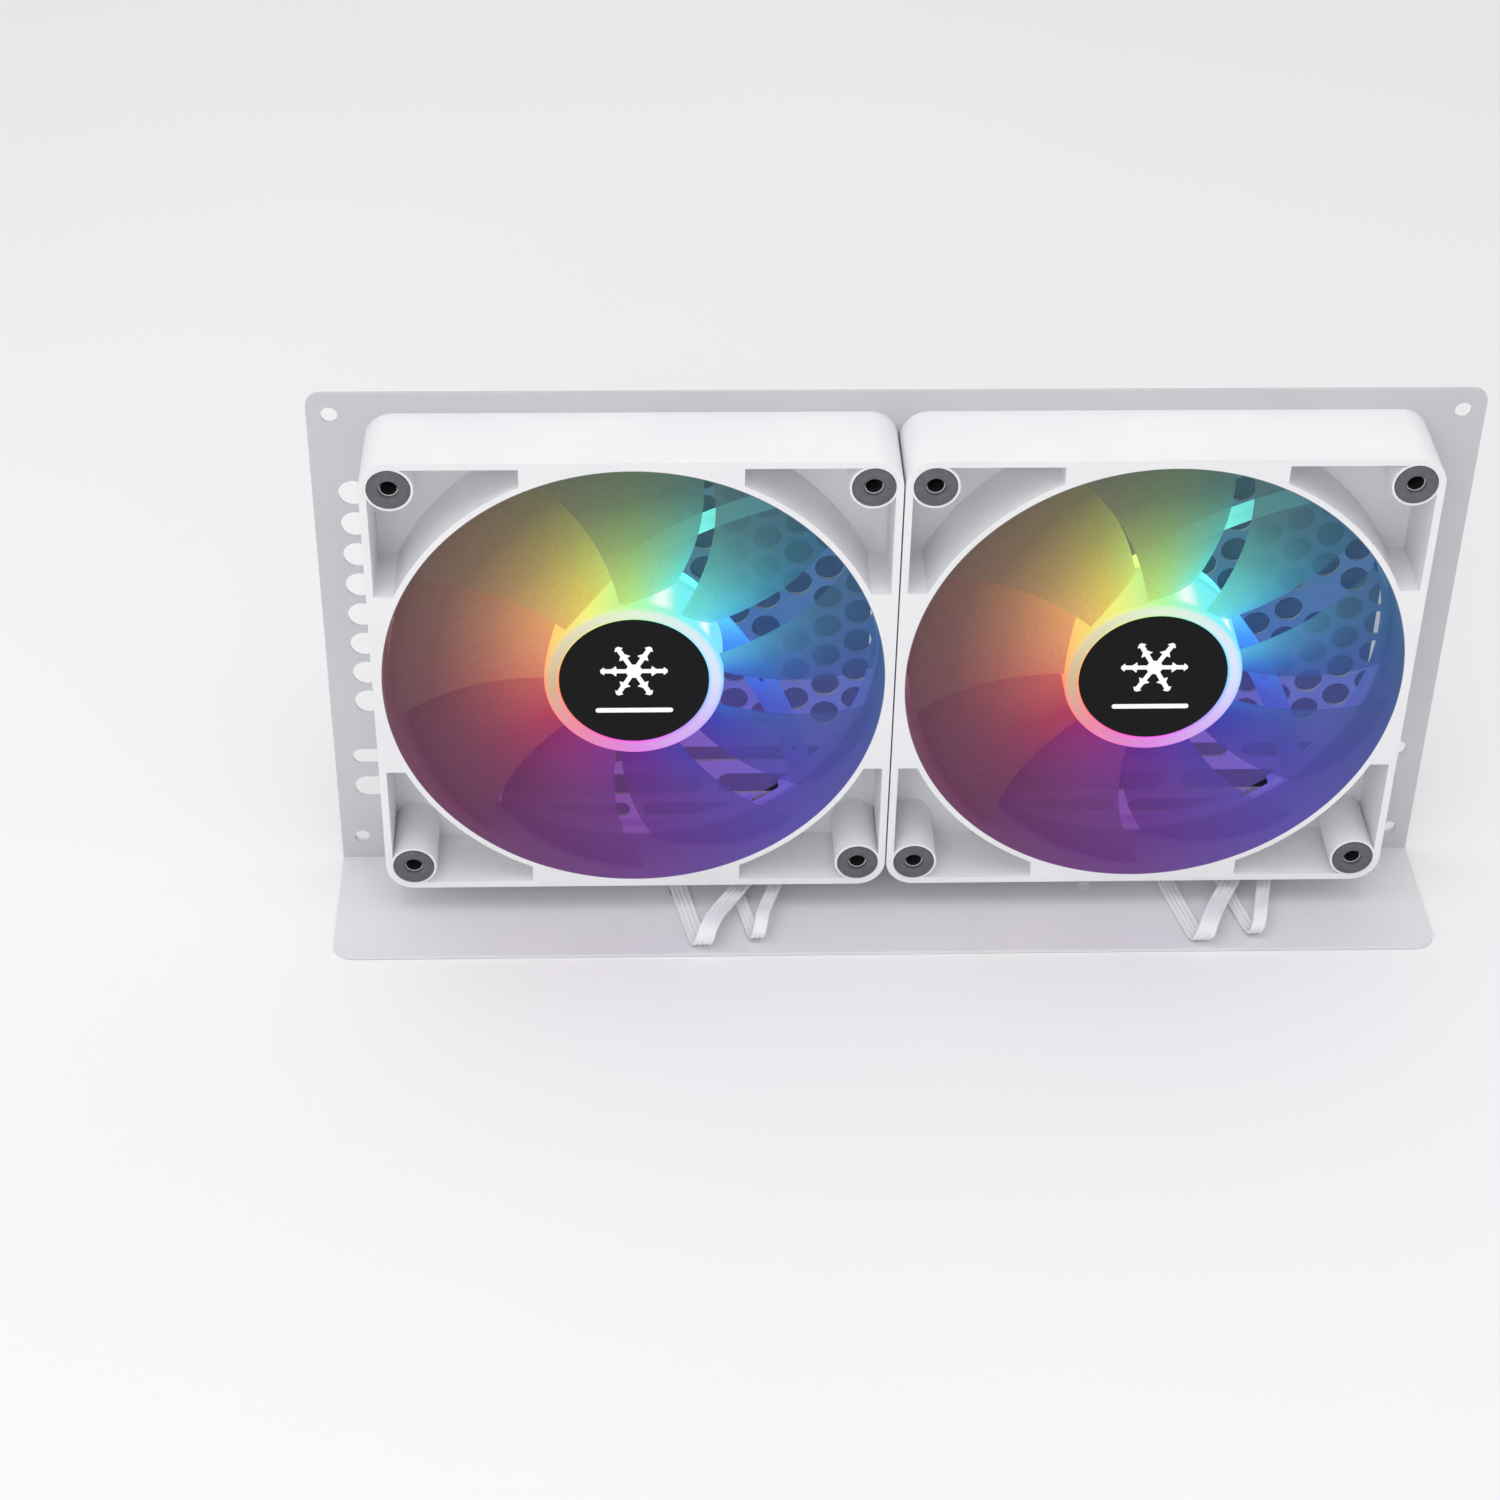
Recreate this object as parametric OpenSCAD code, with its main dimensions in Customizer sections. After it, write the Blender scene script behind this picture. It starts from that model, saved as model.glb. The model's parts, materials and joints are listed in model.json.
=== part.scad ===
// Twin 140 mm lit cooling fans on a perforated steel grille panel.
// The unit stands on its foot rail: X runs across both fans, +Z is up, and the fans blow from -Y to +Y.

/* [Fans] */
// Side of each square fan frame
fan_size = 140; // [138:0.5:142]
// Depth of each fan frame, front to back
fan_depth = 25; // [25:0.5:28]
// Radius of the frame's outer corners
corner_r = 7.75; // [6:0.25:9]
// Distance between two neighbouring screw holes of one fan
screw_pitch = 124.5; // [124:0.5:125]
// Radius of the air duct
duct_r = 67.25; // [66.5:0.25:67.5]
// Gap between the two fans
fan_spacing = 0.4; // [0.4:0.2:2]
// Height of the fans above the floor
fan_gap = 10; // [10:0.5:14]

/* [Impeller] */
// Number of blades on each impeller
blade_count = 9; // [7:1:9]
// Radius of the blade tips
tip_r = 65.9; // [65:0.1:66]
// Radius of the lit hub
hub_r = 24.2; // [24:0.1:24.6]
// Angle that one blade covers, seen from the front
blade_span = 37; // [30:1:38]
// Forward sweep of the blade tips
blade_sweep = 13; // [0:1:16]

/* [Panel] */
// Width of the grille panel
panel_w = 310; // [304:1:320]
// Height of the panel's top edge above the floor
panel_top = 156; // [154:1:160]
// Thickness of the sheet steel
sheet_t = 1; // [0.8:0.1:1.2]
// Diameter of the panel's round holes
vent_d = 7.8; // [6.5:0.1:8.2]
// Distance between neighbouring round holes
vent_pitch = 9.8; // [9.6:0.1:10.2]
// Reach of the foot rail in front of the panel
foot_reach = 44; // [42:1:50]

/* [Ribbon leads] */
// Width of the four-wire motor lead
motor_lead_w = 5.2; // [4.8:0.1:5.2]
// Width of the three-wire light lead
light_lead_w = 3.9; // [3.6:0.1:3.9]
// Thickness of both leads
lead_t = 1.3; // [1:0.1:1.3]
// Radius of the outermost bends of a lead folded into an oblong coil, at the middle of the ribbon
coil_r = 15; // [14.5:0.1:15]

/* [Hidden] */
$fn = 48;
small_fn = 32;
eps = 0.01;

// Both fans
fan_x = (fan_size + fan_spacing) / 2;
fan_z = fan_gap + fan_size / 2;
LEFT = -1;
RIGHT = 1;
corners = [[-1, -1], [1, -1], [1, 1], [-1, 1]];

// Fan frame, in fan space: x across, y up, z from the back face towards the front
wall_t = 2;
duct_t = 1.9;
flange_t = 4;
side_land = 58;
boss_r = 6.4;
pad_r = 5.55;
pad_t = 1.5;
pad_seat_r = 5.75;
front_pad_proud = 0.3;
pad_hole_r = 2.5;
screw_hole_r = 1.95;
open_hole_r = 2.15;
hole_depth = 11;
ledge_w = 1.3;
ledge_top = 3.4;

// Struts: each is a stretch of a ring whose centre stands off the fan's axis
strut_ring_r = 123;
strut_ring_x = -73.4;
strut_ring_y = -72.3;
strut_side_x = 10;
cable_strut_w = 6.4;
strut_w = 3.4;
strut_back = 0.6;
strut_front = 4.6;
clip_window = [2.2, 4];
clip_turns = [28, 16];

// Cable channel in the back of the frame
channel_x = 33.2;
channel_w = 12;
channel_d = 3.4;
channel_top = -52;

// Motor, in fan space
base_r = 24.2;
base_back = 0.8;
base_front = 3;
base_rim = 6.4;
base_wall = 1;
step_r = 20.8;
step_front = 4.4;
tube_r = 5.5;
tube_bore = 4.05;
tube_front = 17.2;
sleeve_r = 4;
sleeve_back = 4.2;
sleeve_front = 17;
shaft_r = 1.5;
shaft_clearance = 0.03;
shaft_back = 2.5;
shaft_front = 20.9;
groove_r = 1.1;
groove_back = 3.4;
groove_w = 0.5;
lock_ring_r = 2.6;
thrust_back = 0.9;
thrust_front = 2.4;
board_r = 20.5;
board_hole_r = 6;
board_back = 5.2;
board_front = 6.4;
post_r = 1.2;
post_ring_r = 14;
led_count = 9;
led_ring_r = 22;
led_size = [1.8, 2.4, 1.1];
light_board_t = 0.8;
stator_r = 18.1;
stator_core_r = 9;
stator_bore = 5.6;
stator_back = 10.5;
stator_front = 17.5;
pole_count = 6;
pole_w = 3.4;
shoe_w = 12;
shoe_t = 1.9;
insulator_t = 0.8;
winding_t = 1.4;
winding_start = 10;
winding_end = 15.6;
yoke_r = 21.9;
yoke_t = 1;
yoke_back = 9;
yoke_hole_r = 3.1;
hub_wall_back = 21;
magnet_r = 20.8;
magnet_bore = 18.7;
magnet_back = 10;
magnet_front = 19;
label_r = 21;
label_t = 0.25;

// Impeller, in fan space
skirt_t = 1.9;
skirt_back = 7.4;
hub_front = 22.2;
rim_front = 23.6;
rim_round = 1.2;
badge_r = 20.2;
badge_t = 1;
badge_gap = 0.1;
shaft_boss_r = 2.9;
shaft_boss_back = 17.6;
blade_root_r = 23.2;
blade_mid = 14.6;
root_rise = 7;
tip_rise = 6.2;
blade_camber = 0.3;
blade_t = 2.2;
blade_edge_t = 0.7;
blade_rings = 6;
blade_steps = 8;

// Fan screws
screw_r = 2.25;
screw_length = 10;
head_r = 4.2;
head_h = 2.2;
drive_w = 1.1;
drive_d = 1.1;

// Dust filters, on the back of the panel and cut out round the screw heads
filter_size = 130;
filter_r = 6;
filter_t = 0.5;
filter_notch_r = 5;

// Grille panel and foot rail
panel_r = 4;
vent_col = vent_pitch * sqrt(3) / 2;
vent_cols = 17;
vent_top = 130.3;
vent_rows = 9;
blank_vents = [[-3, 4], [14, 4]];
slot_edge = 150;
slot_bridge = 3.8;
// Each slot row: height above the floor, slot width, first bridge and bridge pitch
slot_rows = [[37.6, 5.2, -175.4, 55.2], [26.9, 7.2, -181.8, 66.4]];
screw_row_w = 4.8;
screw_row_pitch = 70;
screw_row_edge = 138;
mount_hole_r = 2.25;
mount_hole_x = 149;
mount_hole_low = 8.5;
mount_hole_high = 149.5;
rail_leg_top = 12.5;
rail_corner_r = 6;
rail_hole_x = 58.5;
rail_hole_y = -17;
cable_slot_w = 32;
cable_slot_h = 6.4;
cable_slot_x = 17;
cable_slot_z = 5;
rivet_x = [-140, -90, -20, 45, 125, 140];
rivet_z = 6;
rivet_r = 1.6;
rivet_head_r = 2.8;
rivet_head_h = 0.8;

// The depth of the unit is centred on the origin, from the foot's front edge to the screw heads
wall_y = (foot_reach - sheet_t - head_h) / 2;

// Ribbon leads, from each fan's centre line, the panel's front face and the floor.
// Each route point: x, y, z, turn of the ribbon's width about Z, roll of the ribbon onto its edge
motor_route = [
    [36.5, -1.7, 16, 0, 0], [36.5, -1.7, 11, 0, 0], [36, -4, 7, -8, 0], [33.5, -11, 5.4, -20, 0],
    [29.5, -20, 5.4, -24, 0], [25, -30, 7.4, -25, 0], [22, -37, 9, -22, 0], [20, -41.5, 8, -14, 0],
    [19, -43, 5.4, -6, 0], [18, -41, 2.4, 4, 0], [16.5, -36, 1.75, 10, 0], [12.5, -18, 1.75, 12, 0],
    [9.5, -4, 2.6, 8, 0], [8.5, 3, 3.2, 2, 0], [8, 9, 2.8, 0, 40], [8, 16, 2.7, 0, 90],
    [5.5, 23.5, 2.7, 0, 90], [-1, 27.5, 2.7, 0, 90], [-12, 28, 2.7, 0, 90], [-20, 28, 2.7, 0, 90]
];
light_route = [
    [42.6, -1.7, 16, 0, 0], [42.6, -1.7, 11, 0, 0], [42.4, -4, 7, -4, 0], [41, -12, 5.6, -11, 0],
    [38.8, -22, 5.8, -13, 0], [36.8, -30, 7.6, -12, 0], [35.4, -36, 8.6, -9, 0], [34.6, -39.5, 6.8, -4, 0],
    [34, -40, 4.2, 2, 0], [33, -37, 2, 8, 0], [30.5, -26, 1.75, 12, 0], [27, -9, 1.9, 11, 0],
    [25, 3, 3.1, 5, 0], [24, 9, 2.3, 0, 45], [24, 16, 2.1, 0, 90], [25.2, 22, 2.1, 0, 90],
    [29, 26.8, 2.1, 0, 90], [34, 28, 2.1, 0, 90]
];
coil_x = 34;
coil_y = 43;
coil_straight = 34;
coil_inner_r = 8.6;
coil_margin = 1;
plug_offset = 19.3;
plug_size = [5.8, 12, 10.2];
plug_pitch = 2.4;
plug_socket = [1.4, 4, 1.4];
plug_rib = [0.8, 9, 1.2];

// ---- Shared shapes ----

// Fan space to the unit's frame: z of fan space points forward, y of fan space points up
module at_fan(side) {
    translate([side * fan_x, wall_y, fan_z])
        rotate([90, 0, 0])
            children();
}

module at_corners() {
    for (c = corners)
        translate([c[0] * screw_pitch / 2, c[1] * screw_pitch / 2, 0])
            children();
}

module ring(outer_r, inner_r, back, front) {
    translate([0, 0, back])
        difference() {
            cylinder(h = front - back, r = outer_r);
            translate([0, 0, -1])
                cylinder(h = front - back + 2, r = inner_r);
        }
}

module rounded_square(size, r) {
    square([size, size - 2 * r], center = true);
    square([size - 2 * r, size], center = true);
    for (c = corners)
        translate([c[0] * (size / 2 - r), c[1] * (size / 2 - r)])
            circle(r = r);
}

module obround(length, width) {
    square([length - width, width], center = true);
    for (s = [-1, 1])
        translate([s * (length - width) / 2, 0])
            circle(d = width, $fn = small_fn);
}

// ---- Fan frame ----

module frame_body() {
    linear_extrude(flange_t)
        rounded_square(fan_size, corner_r);
    linear_extrude(fan_depth)
        difference() {
            rounded_square(fan_size, corner_r);
            rounded_square(fan_size - 2 * wall_t, corner_r - wall_t);
        }
    linear_extrude(fan_depth)
        square([side_land, fan_size], center = true);
    linear_extrude(fan_depth)
        square([fan_size, side_land], center = true);
    cylinder(h = fan_depth, r = duct_r + duct_t, $fn = 96);
    at_corners()
        cylinder(h = fan_depth, r = boss_r);
}

module frame_cuts() {
    translate([0, 0, -1])
        cylinder(h = fan_depth + 2, r = duct_r, $fn = 96);
    at_corners() {
        translate([0, 0, -1])
            cylinder(h = hole_depth + 1, r = screw_hole_r);
        translate([0, 0, fan_depth - hole_depth])
            cylinder(h = hole_depth + 1, r = open_hole_r);
        translate([0, 0, -1])
            cylinder(h = pad_t + 1, r = pad_seat_r);
        translate([0, 0, fan_depth + front_pad_proud - pad_t])
            cylinder(h = pad_t + 1, r = pad_seat_r);
    }
    translate([channel_x, -fan_size / 2 - 1, -1])
        cube([channel_w, fan_size / 2 + 1 + channel_top, channel_d + 1]);
}

// The duct narrows to a low ledge at its back
module duct_ledge() {
    rotate_extrude($fn = 96)
        polygon([
            [duct_r + duct_t / 2, 0], [duct_r - ledge_w, 0],
            [duct_r - ledge_w, ledge_top], [duct_r + duct_t / 2, ledge_top + ledge_w + duct_t / 2]
        ]);
}

module strut(width) {
    translate([0, 0, strut_back])
        linear_extrude(strut_front - strut_back)
            intersection() {
                translate([strut_ring_x, strut_ring_y])
                    difference() {
                        circle(r = strut_ring_r + width / 2, $fn = 128);
                        circle(r = strut_ring_r - width / 2, $fn = 128);
                    }
                difference() {
                    circle(r = duct_r + duct_t / 2, $fn = 96);
                    circle(r = base_r - base_wall);
                }
                translate([strut_side_x, -duct_r])
                    square([duct_r, 2 * duct_r]);
            }
}

module clip_windows() {
    for (turn = clip_turns)
        translate([strut_ring_x, strut_ring_y, 0])
            rotate([0, 0, turn])
                translate([strut_ring_r, 0, fan_depth / 2])
                    cube([clip_window[0], clip_window[1], fan_depth + 2], center = true);
}

module motor_base() {
    ring(base_r, tube_bore, base_back, base_front);
    ring(base_r, base_r - base_wall, base_front - eps, base_rim);
    ring(base_r - base_wall + eps, step_r, base_front - eps, step_front);
    ring(tube_r, tube_bore, base_front - eps, tube_front);
    for (a = [30, 150, 270])
        rotate([0, 0, a])
            translate([post_ring_r, 0, base_front - eps])
                cylinder(h = board_back - base_front, r = post_r);
}

module fan_frame() {
    color("white") {
        difference() {
            frame_body();
            frame_cuts();
        }
        difference() {
            duct_ledge();
            translate([channel_x, -fan_size / 2 - 1, -1])
                cube([channel_w, fan_size / 2 + 1 + channel_top, channel_d + 1]);
        }
        difference() {
            strut(cable_strut_w);
            clip_windows();
        }
        for (a = [90, 180, 270])
            rotate([0, 0, a])
                strut(strut_w);
        motor_base();
    }
}

module corner_pads(back) {
    color("dimgray")
        at_corners()
            ring(pad_r, pad_hole_r, back, back + pad_t);
}

// Self-tapping screws, driven from behind the grille panel
module fan_screws() {
    color("black")
        at_corners()
            difference() {
                union() {
                    translate([0, 0, -sheet_t - eps])
                        cylinder(h = screw_length, r = screw_r);
                    translate([0, 0, -sheet_t - head_h])
                        cylinder(h = head_h, r = head_r);
                }
                translate([0, 0, -sheet_t - head_h + drive_d / 2 - eps])
                    cube([2 * head_r - 3, drive_w, drive_d], center = true);
                translate([0, 0, -sheet_t - head_h + drive_d / 2 - eps])
                    cube([drive_w, 2 * head_r - 3, drive_d], center = true);
            }
}

module dust_filter() {
    color("gray")
        translate([0, 0, -sheet_t - filter_t])
            linear_extrude(filter_t)
                difference() {
                    rounded_square(filter_size, filter_r);
                    at_corners()
                        circle(r = filter_notch_r);
                }
}

module rear_label() {
    color("silver")
        translate([0, 0, base_back - label_t])
            cylinder(h = label_t, r = label_r);
}

// ---- Motor ----

module bearing_sleeve() {
    color("goldenrod")
        ring(sleeve_r, shaft_r + shaft_clearance, sleeve_back, sleeve_front);
}

module thrust_cap() {
    color("ivory")
        translate([0, 0, thrust_back])
            cylinder(h = thrust_front - thrust_back, r = sleeve_r);
}

module motor_board() {
    color("darkgreen")
        ring(board_r, board_hole_r, board_back, board_front);
}

module light_board() {
    color("whitesmoke")
        ring(base_r - base_wall - 0.1, step_r + 0.1, step_front, step_front + light_board_t);
}

module leds() {
    color("lightyellow")
        for (i = [0:led_count - 1])
            rotate([0, 0, i * 360 / led_count])
                translate([led_ring_r - led_size[0] / 2, -led_size[1] / 2, step_front + light_board_t])
                    cube(led_size);
}

module at_poles() {
    for (i = [0:pole_count - 1])
        rotate([0, 0, i * 360 / pole_count])
            children();
}

module stator_core() {
    color("slategray")
        translate([0, 0, stator_back])
            linear_extrude(stator_front - stator_back)
                difference() {
                    union() {
                        circle(r = stator_core_r);
                        at_poles()
                            translate([stator_bore + 1, -pole_w / 2])
                                square([stator_r - shoe_t / 2 - stator_bore - 1, pole_w]);
                        difference() {
                            circle(r = stator_r);
                            circle(r = stator_r - shoe_t);
                            at_poles()
                                rotate(180 / pole_count)
                                    translate([0, -(stator_r - shoe_w) / 2])
                                        square([stator_r + 1, stator_r - shoe_w]);
                        }
                    }
                    circle(r = stator_bore);
                }
}

module insulator_plate(back) {
    translate([0, 0, back])
        linear_extrude(insulator_t)
            difference() {
                union() {
                    circle(r = stator_core_r);
                    at_poles()
                        translate([stator_bore + 1, -pole_w / 2])
                            square([stator_r - shoe_t - stator_bore - 1, pole_w]);
                }
                circle(r = stator_bore);
            }
}

module insulators() {
    color("ivory") {
        insulator_plate(stator_back - insulator_t);
        insulator_plate(stator_front);
    }
}

module windings() {
    core_back = stator_back - insulator_t;
    core_h = stator_front - stator_back + 2 * insulator_t;
    color("peru")
        at_poles()
            difference() {
                translate([winding_start, -pole_w / 2 - winding_t, core_back - winding_t])
                    cube([winding_end - winding_start, pole_w + 2 * winding_t, core_h + 2 * winding_t]);
                translate([winding_start - 1, -pole_w / 2, core_back])
                    cube([winding_end - winding_start + 2, pole_w, core_h]);
            }
}

// ---- Rotor ----

function blade_angle(t, s) = blade_sweep * pow(t, 1.5) + blade_span / 2 * s;
function blade_rise(t) = root_rise + (tip_rise - root_rise) * t;
function blade_z(t, s) = blade_mid + blade_rise(t) * (s + blade_camber * (1 - s * s));
function blade_half_t(s) = (blade_edge_t + (blade_t - blade_edge_t) * (1 - s * s)) / 2;
function blade_point(t, s, face) =
    let (r = blade_root_r + (tip_r - blade_root_r) * t, a = blade_angle(t, s))
    [r * cos(a), r * sin(a), blade_z(t, s) + face * blade_half_t(s)];

// One blade is a closed sheet: a front face, a back face and the strip between them
module blade() {
    row = blade_steps + 1;
    count = (blade_rings + 1) * row;
    points = [
        for (face = [1, -1])
            for (i = [0:blade_rings])
                for (j = [0:blade_steps])
                    blade_point(i / blade_rings, 2 * j / blade_steps - 1, face)
    ];
    rim = concat(
        [for (j = [0:blade_steps - 1]) j],
        [for (i = [0:blade_rings - 1]) i * row + blade_steps],
        [for (j = [0:blade_steps - 1]) blade_rings * row + blade_steps - j],
        [for (i = [0:blade_rings - 1]) (blade_rings - i) * row]
    );
    faces = concat(
        [
            for (i = [0:blade_rings - 1])
                for (j = [0:blade_steps - 1])
                    let (p = i * row + j)
                        each [[p, p + 1, p + row], [p + 1, p + row + 1, p + row]]
        ],
        [
            for (i = [0:blade_rings - 1])
                for (j = [0:blade_steps - 1])
                    let (p = count + i * row + j)
                        each [[p, p + row, p + 1], [p + 1, p + row, p + row + 1]]
        ],
        [
            for (k = [0:len(rim) - 1])
                let (a = rim[k], b = rim[(k + 1) % len(rim)])
                    each [[a, count + a, b], [b, count + a, count + b]]
        ]
    );
    polyhedron(points = points, faces = faces);
}

module impeller_hub() {
    difference() {
        rotate_extrude() {
            translate([hub_r - skirt_t, skirt_back])
                square([skirt_t, rim_front - rim_round - skirt_back]);
            translate([badge_r + badge_gap, hub_wall_back])
                square([hub_r - rim_round - badge_r - badge_gap, rim_front - hub_wall_back]);
            translate([hub_r - rim_round, rim_front - rim_round])
                circle(r = rim_round, $fn = small_fn);
            translate([0, hub_wall_back])
                square([hub_r - skirt_t / 2, hub_front - hub_wall_back]);
            translate([0, shaft_boss_back])
                square([shaft_boss_r, hub_wall_back - shaft_boss_back + eps]);
        }
        translate([0, 0, shaft_boss_back - 1])
            cylinder(h = shaft_front - shaft_boss_back + 1, r = shaft_r);
    }
}

module impeller() {
    color("gainsboro", 0.6) {
        impeller_hub();
        for (i = [0:blade_count - 1])
            rotate([0, 0, i * 360 / blade_count])
                blade();
    }
}

module hub_badge() {
    color("black")
        translate([0, 0, hub_front])
            cylinder(h = badge_t, r = badge_r);
}

module rotor_yoke() {
    color("silver") {
        ring(yoke_r, yoke_r - yoke_t, yoke_back, hub_wall_back);
        ring(yoke_r, yoke_hole_r, hub_wall_back - yoke_t, hub_wall_back);
    }
}

module magnet_ring() {
    color("darkslategray")
        ring(magnet_r, magnet_bore, magnet_back, magnet_front);
}

module rotor_shaft() {
    color("lightsteelblue")
        difference() {
            translate([0, 0, shaft_back])
                cylinder(h = shaft_front - shaft_back, r = shaft_r);
            ring(shaft_r + 1, groove_r, groove_back, groove_back + groove_w);
        }
}

module lock_ring() {
    color("ivory")
        difference() {
            ring(lock_ring_r, groove_r + 0.02, groove_back + 0.03, groove_back + groove_w - 0.03);
            translate([0, -groove_r / 2, groove_back - 1])
                cube([lock_ring_r + 1, groove_r, groove_w + 2]);
        }
}

// ---- Grille panel and foot ----

module panel_space() {
    translate([0, wall_y + sheet_t, 0])
        rotate([90, 0, 0])
            children();
}

module cable_slots() {
    for (side = [LEFT, RIGHT])
        translate([side * fan_x + cable_slot_x, cable_slot_z])
            obround(cable_slot_w, cable_slot_h);
}

module panel_mount_holes() {
    for (s = [-1, 1])
        for (z = [mount_hole_low, mount_hole_high])
            translate([s * mount_hole_x, z])
                circle(r = mount_hole_r, $fn = small_fn);
}

module rivet_holes() {
    for (x = rivet_x)
        translate([x, rivet_z])
            circle(r = rivet_r, $fn = small_fn);
}

function is_blank(col, row) = len([for (b = blank_vents) if (b[0] == col && b[1] == row) b]) > 0;

module vents() {
    for (col = [-vent_cols:vent_cols])
        for (row = [0:vent_rows - 1 - abs(col) % 2])
            if (!is_blank(col, row))
                translate([col * vent_col, vent_top - (row + (abs(col) % 2) / 2) * vent_pitch])
                    circle(d = vent_d, $fn = small_fn);
}

module slot_row(z, width, first, pitch, edge) {
    for (k = [0:ceil(2 * edge / pitch) + 1]) {
        low = max(first + k * pitch + slot_bridge / 2, -edge);
        high = min(first + (k + 1) * pitch - slot_bridge / 2, edge);
        if (high - low > width + 2)
            translate([(low + high) / 2, z])
                obround(high - low, width);
    }
}

module grille_panel() {
    color("white")
        panel_space()
            linear_extrude(sheet_t)
                difference() {
                    union() {
                        translate([-panel_w / 2, sheet_t])
                            square([panel_w, panel_top - sheet_t - panel_r]);
                        translate([-panel_w / 2 + panel_r, panel_top - panel_r])
                            square([panel_w - 2 * panel_r, panel_r]);
                        for (s = [-1, 1])
                            translate([s * (panel_w / 2 - panel_r), panel_top - panel_r])
                                circle(r = panel_r, $fn = small_fn);
                    }
                    vents();
                    for (r = slot_rows)
                        slot_row(r[0], r[1], r[2], r[3], slot_edge);
                    for (z = [fan_z - screw_pitch / 2, fan_z + screw_pitch / 2])
                        slot_row(z, screw_row_w, -2 * screw_row_pitch, screw_row_pitch, screw_row_edge);
                    cable_slots();
                    panel_mount_holes();
                    rivet_holes();
                }
}

// Folded steel foot: a floor leg under the fans and a short leg up the back of the panel
module foot_rail() {
    leg_y = wall_y + sheet_t;
    front_y = wall_y - foot_reach;
    color("white") {
        difference() {
            union() {
                translate([-panel_w / 2, front_y + rail_corner_r, 0])
                    cube([panel_w, leg_y + sheet_t - front_y - rail_corner_r, sheet_t]);
                translate([-panel_w / 2 + rail_corner_r, front_y, 0])
                    cube([panel_w - 2 * rail_corner_r, rail_corner_r + 1, sheet_t]);
                for (s = [-1, 1])
                    translate([s * (panel_w / 2 - rail_corner_r), front_y + rail_corner_r, 0])
                        cylinder(h = sheet_t, r = rail_corner_r);
            }
            for (s = [-1, 1])
                translate([s * rail_hole_x, wall_y + rail_hole_y, -1])
                    cylinder(h = sheet_t + 2, r = mount_hole_r, $fn = small_fn);
        }
        translate([0, leg_y + sheet_t, 0])
            rotate([90, 0, 0])
                linear_extrude(sheet_t)
                    difference() {
                        translate([-panel_w / 2, sheet_t / 2])
                            square([panel_w, rail_leg_top - sheet_t / 2]);
                        cable_slots();
                        panel_mount_holes();
                        rivet_holes();
                    }
    }
}

module rail_rivets() {
    color("white")
        for (x = rivet_x)
            translate([x, wall_y, rivet_z])
                rotate([-90, 0, 0]) {
                    translate([0, 0, -rivet_head_h])
                        cylinder(h = rivet_head_h, r = rivet_head_r);
                    translate([0, 0, -eps])
                        cylinder(h = 2 * sheet_t + 2 * eps, r = rivet_r - 0.05);
                    translate([0, 0, 2 * sheet_t])
                        cylinder(h = rivet_head_h, r = rivet_head_r);
                }
}

// ---- Ribbon leads ----

function unit(v) = v / norm(v);
function along(route, i) =
    let (a = max(i - 1, 0), b = min(i + 1, len(route) - 1))
    unit([for (k = [0:2]) route[b][k] - route[a][k]]);
function ribbon_side(route, i) =
    let (
        turn = route[i][3],
        roll = route[i][4],
        t = along(route, i),
        w = [cos(roll) * cos(turn), cos(roll) * sin(turn), sin(roll)]
    )
    unit(w - (w * t) * t);
// Eight points round the ribbon: a flat section with blunt edges
function ribbon_ring(route, i, width) =
    let (
        centre = [route[i][0], route[i][1], route[i][2]],
        w = ribbon_side(route, i),
        n = cross(w, along(route, i)),
        a = width / 2,
        b = lead_t / 2
    )
    [
        for (p = [[a, -b / 2], [a, b / 2], [a - b / 2, b], [b / 2 - a, b],
                  [-a, b / 2], [-a, -b / 2], [b / 2 - a, -b], [a - b / 2, -b]])
            centre + p[0] * w + p[1] * n
    ];

module ribbon(route, width) {
    sides = 8;
    rings = len(route);
    points = [for (i = [0:rings - 1]) each ribbon_ring(route, i, width)];
    skin = [
        for (i = [0:rings - 2])
            for (k = [0:sides - 1])
                let (a = i * sides + k, b = i * sides + (k + 1) % sides)
                    each [[a, b, a + sides], [b, b + sides, a + sides]]
    ];
    first_end = [[for (k = [0:sides - 1]) sides - 1 - k]];
    last_end = [[for (k = [0:sides - 1]) (rings - 1) * sides + k]];
    polyhedron(points = points, faces = concat(skin, first_end, last_end));
}

module lead(side, route, width) {
    color("whitesmoke")
        translate([side * fan_x, wall_y, 0])
            ribbon(route, width);
}

module at_coil(side, hand) {
    translate([side * fan_x + hand * coil_x, wall_y + coil_y, 0])
        children();
}

module oblong(radius) {
    square([coil_straight, 2 * radius], center = true);
    for (s = [-1, 1])
        translate([s * coil_straight / 2, 0])
            circle(radius);
}

module coil(side, hand, width) {
    color("whitesmoke")
        at_coil(side, hand)
            linear_extrude(width + 0.2)
                difference() {
                    oblong(coil_r + coil_margin);
                    oblong(coil_inner_r);
                }
}

// A plug standing on its narrow side in the end of its coil, with its sockets facing outwards along X
module plug(side, hand, sockets) {
    color("white")
        at_coil(side, hand)
            translate([-hand * plug_offset, 0, plug_size[2] / 2])
                rotate(hand * 90)
                    difference() {
                        union() {
                            cube(plug_size, center = true);
                            for (s = [-1, 1])
                                translate([-hand * (plug_size[0] / 2), 0, s * plug_pitch * 1.2])
                                    cube([2 * plug_rib[0], plug_rib[1], plug_rib[2]], center = true);
                        }
                        for (i = [0:sockets - 1])
                            translate([0, plug_size[1] / 2, (i - 1.5) * plug_pitch])
                                cube([plug_socket[0], 2 * plug_socket[1], plug_socket[2]], center = true);
                    }
}

module motor_lead(side) {
    lead(side, motor_route, motor_lead_w);
}

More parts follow.
